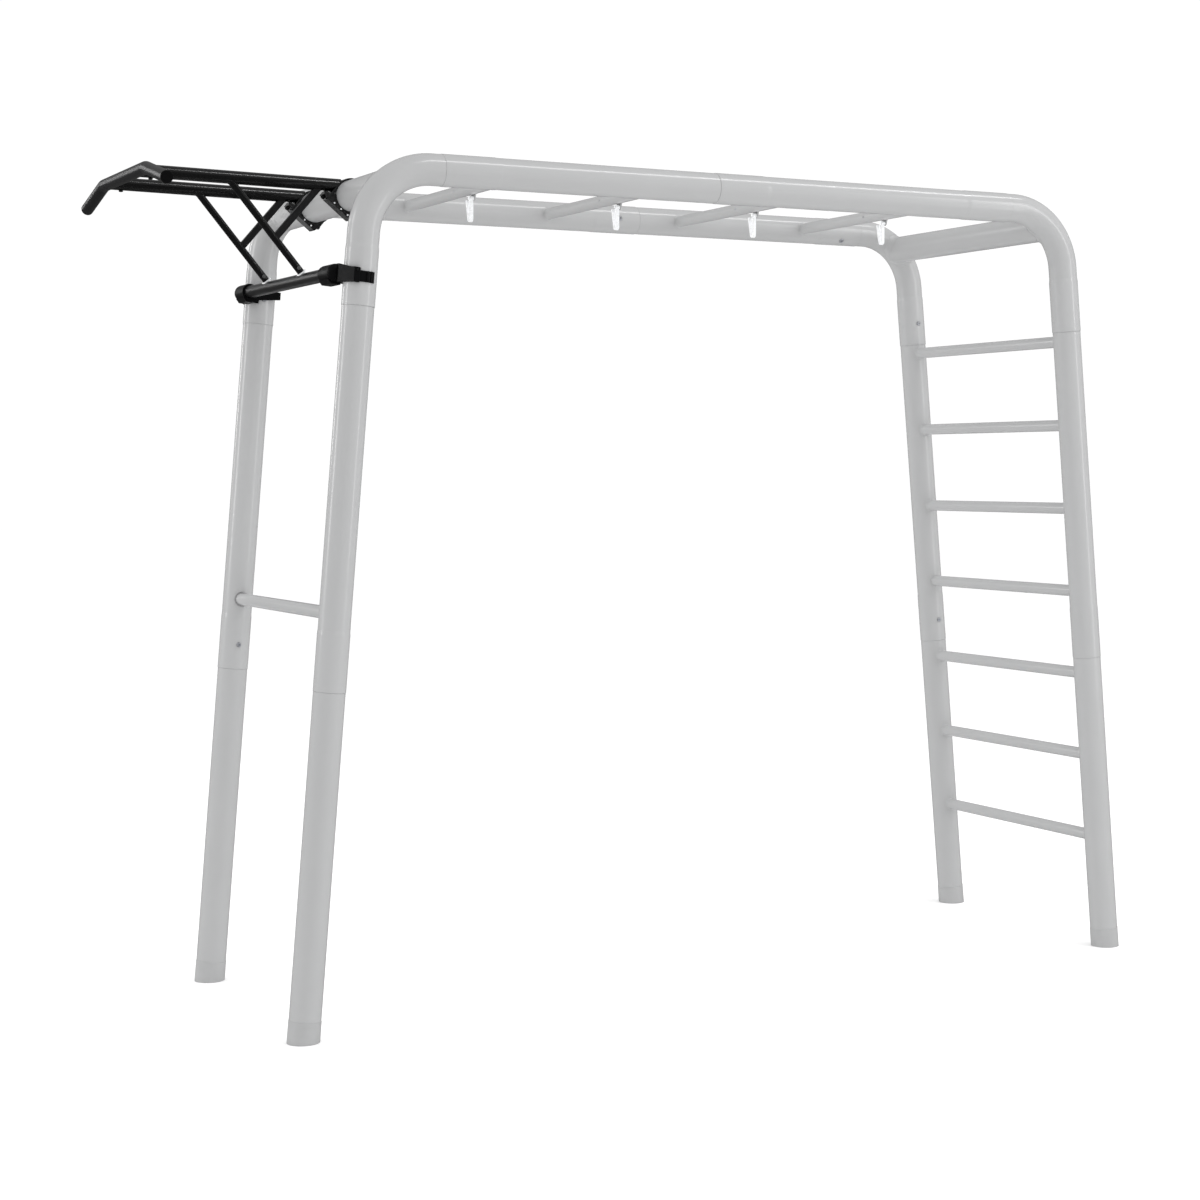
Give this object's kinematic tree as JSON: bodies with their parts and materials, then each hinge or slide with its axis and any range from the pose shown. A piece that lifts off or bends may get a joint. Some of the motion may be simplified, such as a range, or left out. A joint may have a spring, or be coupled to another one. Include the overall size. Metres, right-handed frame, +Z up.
{
  "type": "monkey bars",
  "caption": "Tubular monkey bars with a ladder end, overhead rungs with swing hooks, and a clamp-on pull-up bar at the other end.",
  "frame": {"origin": "on the ground, under the middle of the overall length and width", "axes": "+X along the bars towards the ladder end, +Y across the bars, with the swing hooks a little to the -Y side of the middle, +Z up"},
  "size_m": [3.148, 1.0062, 2.4416],
  "materials": {
    "frame_paint": "light grey powder coat, satin",
    "foot_plastic": "light grey moulded cap",
    "gloss_black": "gloss black paint",
    "matte_black": "textured black powder coat",
    "black_plastic": "moulded black nylon",
    "zinc": "bright zinc plate",
    "bolt_steel": "passivated steel"
  },
  "bodies": {
    "frame": {"corner_bend_front_left": "frame_paint", "upper_leg_front_left": "frame_paint", "lower_leg_front_left": "frame_paint", "foot_cap_front_left": "foot_plastic", "corner_bend_front_right": "frame_paint", "upper_leg_front_right": "frame_paint", "lower_leg_front_right": "frame_paint", "foot_cap_front_right": "foot_plastic", "corner_bend_back_left": "frame_paint", "upper_leg_back_left": "frame_paint", "lower_leg_back_left": "frame_paint", "foot_cap_back_left": "foot_plastic", "corner_bend_back_right": "frame_paint", "upper_leg_back_right": "frame_paint", "lower_leg_back_right": "frame_paint", "foot_cap_back_right": "foot_plastic", "top_tube_front_long": "frame_paint", "top_tube_front_short": "frame_paint", "top_tube_back_long": "frame_paint", "top_tube_back_short": "frame_paint", "cross_tube_left": "frame_paint", "cross_tube_right": "frame_paint", "overhead_rung_1": "frame_paint", "overhead_rung_2": "frame_paint", "overhead_rung_3": "frame_paint", "overhead_rung_4": "frame_paint", "ladder_rung_1": "frame_paint", "ladder_rung_2": "frame_paint", "ladder_rung_3": "frame_paint", "ladder_rung_4": "frame_paint", "ladder_rung_5": "frame_paint", "ladder_rung_6": "frame_paint", "ladder_rung_7": "frame_paint", "side_rung": "frame_paint", "frame_bolts": "bolt_steel", "hook_hangers": "frame_paint", "bright_pins": "zinc", "pull_up_handle": "matte_black", "handle_end_caps": "black_plastic", "boom_front": "gloss_black", "strut_front": "gloss_black", "brace_front": "matte_black", "upper_strap_front": "gloss_black", "upper_saddle_front": "gloss_black", "leg_clamp_front": "black_plastic", "leg_band_front": "black_plastic", "boom_back": "gloss_black", "strut_back": "gloss_black", "brace_back": "matte_black", "upper_strap_back": "gloss_black", "upper_saddle_back": "gloss_black", "leg_clamp_back": "black_plastic", "leg_band_back": "black_plastic", "strut_foot_plates": "zinc", "lower_bar": "matte_black", "attachment_bolts": "matte_black"},
    "swing_hook_1": {"hook_1": "zinc"},
    "swing_hook_2": {"hook_2": "zinc"},
    "swing_hook_3": {"hook_3": "zinc"},
    "swing_hook_4": {"hook_4": "zinc"}
  },
  "joints": [
    {"name": "hook_1_pivot", "type": "hinge", "parent": "frame", "child": "swing_hook_1", "pos_m": [-0.56181, -0.1005, 2.3687], "axis": [1, 0, 0], "range_deg": [-85, 20]},
    {"name": "hook_2_pivot", "type": "hinge", "parent": "frame", "child": "swing_hook_2", "pos_m": [-0.08361, -0.1005, 2.3687], "axis": [1, 0, 0], "range_deg": [-85, 20]},
    {"name": "hook_3_pivot", "type": "hinge", "parent": "frame", "child": "swing_hook_3", "pos_m": [0.39459, -0.1005, 2.3687], "axis": [1, 0, 0], "range_deg": [-85, 20]},
    {"name": "hook_4_pivot", "type": "hinge", "parent": "frame", "child": "swing_hook_4", "pos_m": [0.87279, -0.1005, 2.3687], "axis": [1, 0, 0], "range_deg": [-85, 20]}
  ]
}
